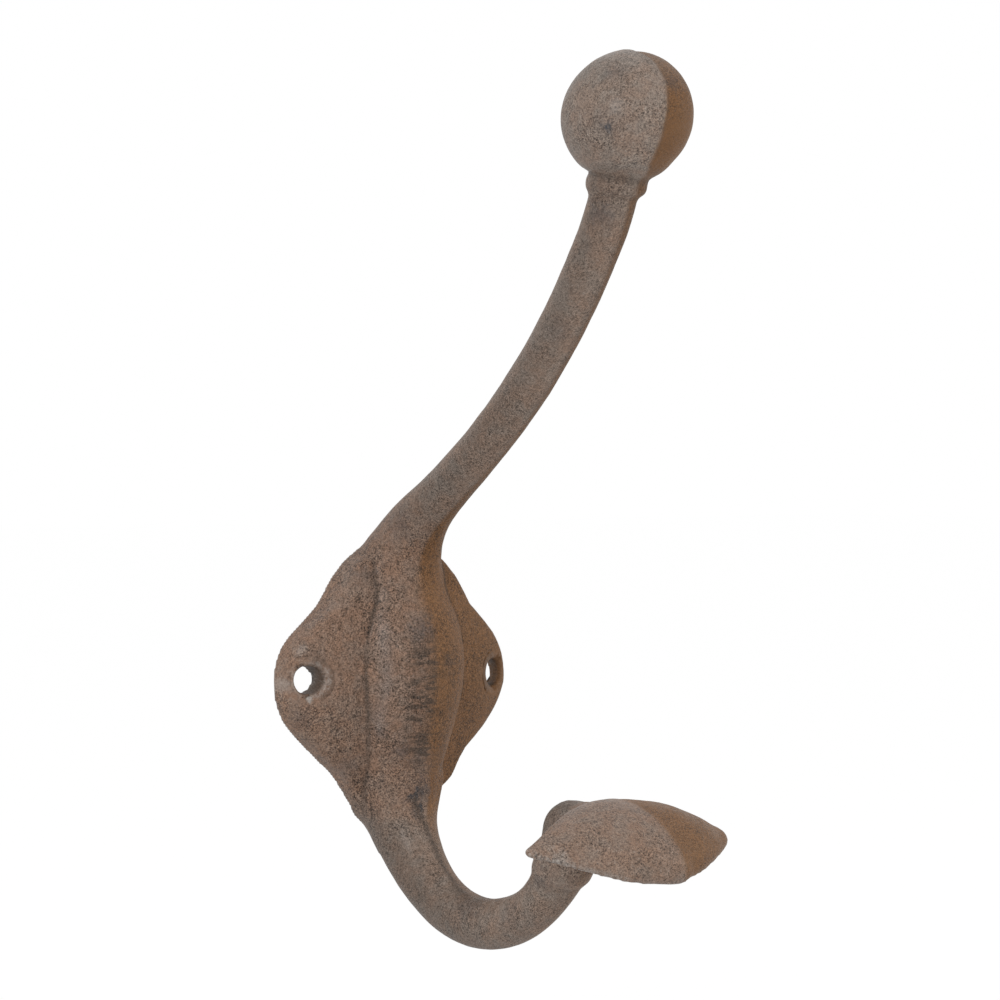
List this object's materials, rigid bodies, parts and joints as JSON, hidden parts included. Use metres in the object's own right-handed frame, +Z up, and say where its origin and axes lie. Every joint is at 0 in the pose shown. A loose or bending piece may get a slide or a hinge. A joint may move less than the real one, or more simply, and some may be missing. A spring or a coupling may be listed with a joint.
{
  "type": "wall hook",
  "caption": "Cast iron hat and coat hook: a ball-tipped upper arm and a crooked lower arm with a leaf-shaped head grow from a screw-on wall plate.",
  "frame": {"origin": "on the wall face of the plate, midway between the screw holes", "axes": "+Z up, +X to the right as seen from the room, the hook stands out from the wall along -Y"},
  "size_m": [0.0558, 0.0854, 0.1723],
  "materials": {
    "rusted_iron": "rust-brown cast iron with a fine sandy grain"
  },
  "bodies": {
    "root": {"wall_hook": "rusted_iron"}
  },
  "joints": []
}
